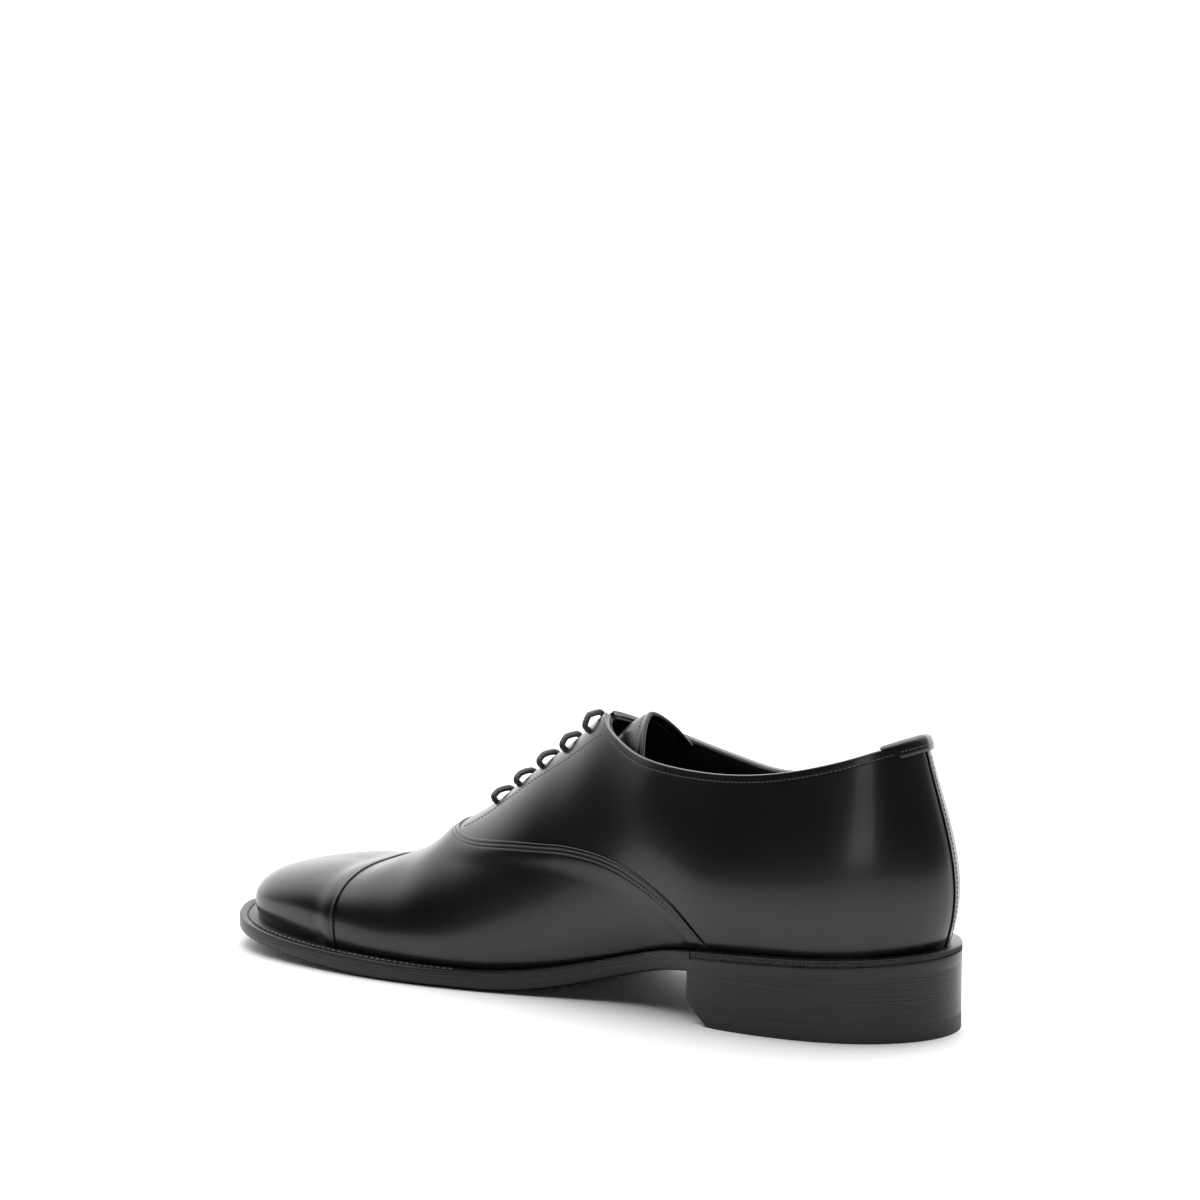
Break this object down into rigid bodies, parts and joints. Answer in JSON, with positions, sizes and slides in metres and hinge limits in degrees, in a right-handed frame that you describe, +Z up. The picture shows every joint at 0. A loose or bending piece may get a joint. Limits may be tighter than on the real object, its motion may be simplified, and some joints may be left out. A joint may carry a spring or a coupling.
{
  "type": "oxford shoe",
  "caption": "Right leather cap-toe oxford shoe with closed lacing over a tongue, welted leather sole and a stacked heel.",
  "frame": {"origin": "bottom centre of the shoe's bounding box, on the ground under the waist", "axes": "+X from heel to toe, +Y to the medial (inner) side of the foot, +Z up"},
  "size_m": [0.306, 0.1026, 0.1053],
  "materials": {
    "calf": "polished smooth black calf",
    "sole_edge": "black edge dressing on stacked sole leather",
    "lining_leather": "matt black lining leather",
    "leatherboard": "raw brown leatherboard",
    "cork": "granulated cork",
    "heel_rubber": "matt black rubber",
    "steel": "spring steel",
    "brass": "plain brass",
    "lace_cotton": "waxed round braid, black"
  },
  "bodies": {
    "shoe": {"outsole": "sole_edge", "welt": "sole_edge", "heel_rand": "sole_edge", "cork_filler": "cork", "shank": "steel", "shank_cover": "leatherboard", "insole": "leatherboard", "heel_sock": "lining_leather", "heel_lift_1": "sole_edge", "heel_lift_2": "sole_edge", "heel_lift_3": "sole_edge", "heel_lift_4": "sole_edge", "top_piece": "heel_rubber", "heel_nail_1": "brass", "heel_nail_2": "brass", "heel_nail_3": "brass", "heel_nail_4": "brass", "heel_nail_5": "brass", "toe_cap": "calf", "toe_puff": "leatherboard", "vamp": "calf", "vamp_lining": "lining_leather", "quarter_medial": "calf", "quarter_lining_medial": "lining_leather", "facing_stay_medial": "leatherboard", "topline_binding_medial": "calf", "eyelet_medial_1": "brass", "eyelet_medial_2": "brass", "eyelet_medial_3": "brass", "eyelet_medial_4": "brass", "eyelet_medial_5": "brass", "quarter_lateral": "calf", "quarter_lining_lateral": "lining_leather", "facing_stay_lateral": "leatherboard", "topline_binding_lateral": "calf", "eyelet_lateral_1": "brass", "eyelet_lateral_2": "brass", "eyelet_lateral_3": "brass", "eyelet_lateral_4": "brass", "eyelet_lateral_5": "brass", "heel_counter": "leatherboard", "heel_tab": "calf", "lace": "lace_cotton"},
    "tongue": {"tongue": "calf"}
  },
  "joints": [
    {"name": "tongue_bend", "type": "hinge", "parent": "shoe", "child": "tongue", "pos_m": [0.0592, 0.0067, 0.0385], "axis": [0, -1, 0], "range_deg": [0, 10], "stiffness_Nm_per_rad": 0.15, "springref_deg": -1.72}
  ]
}
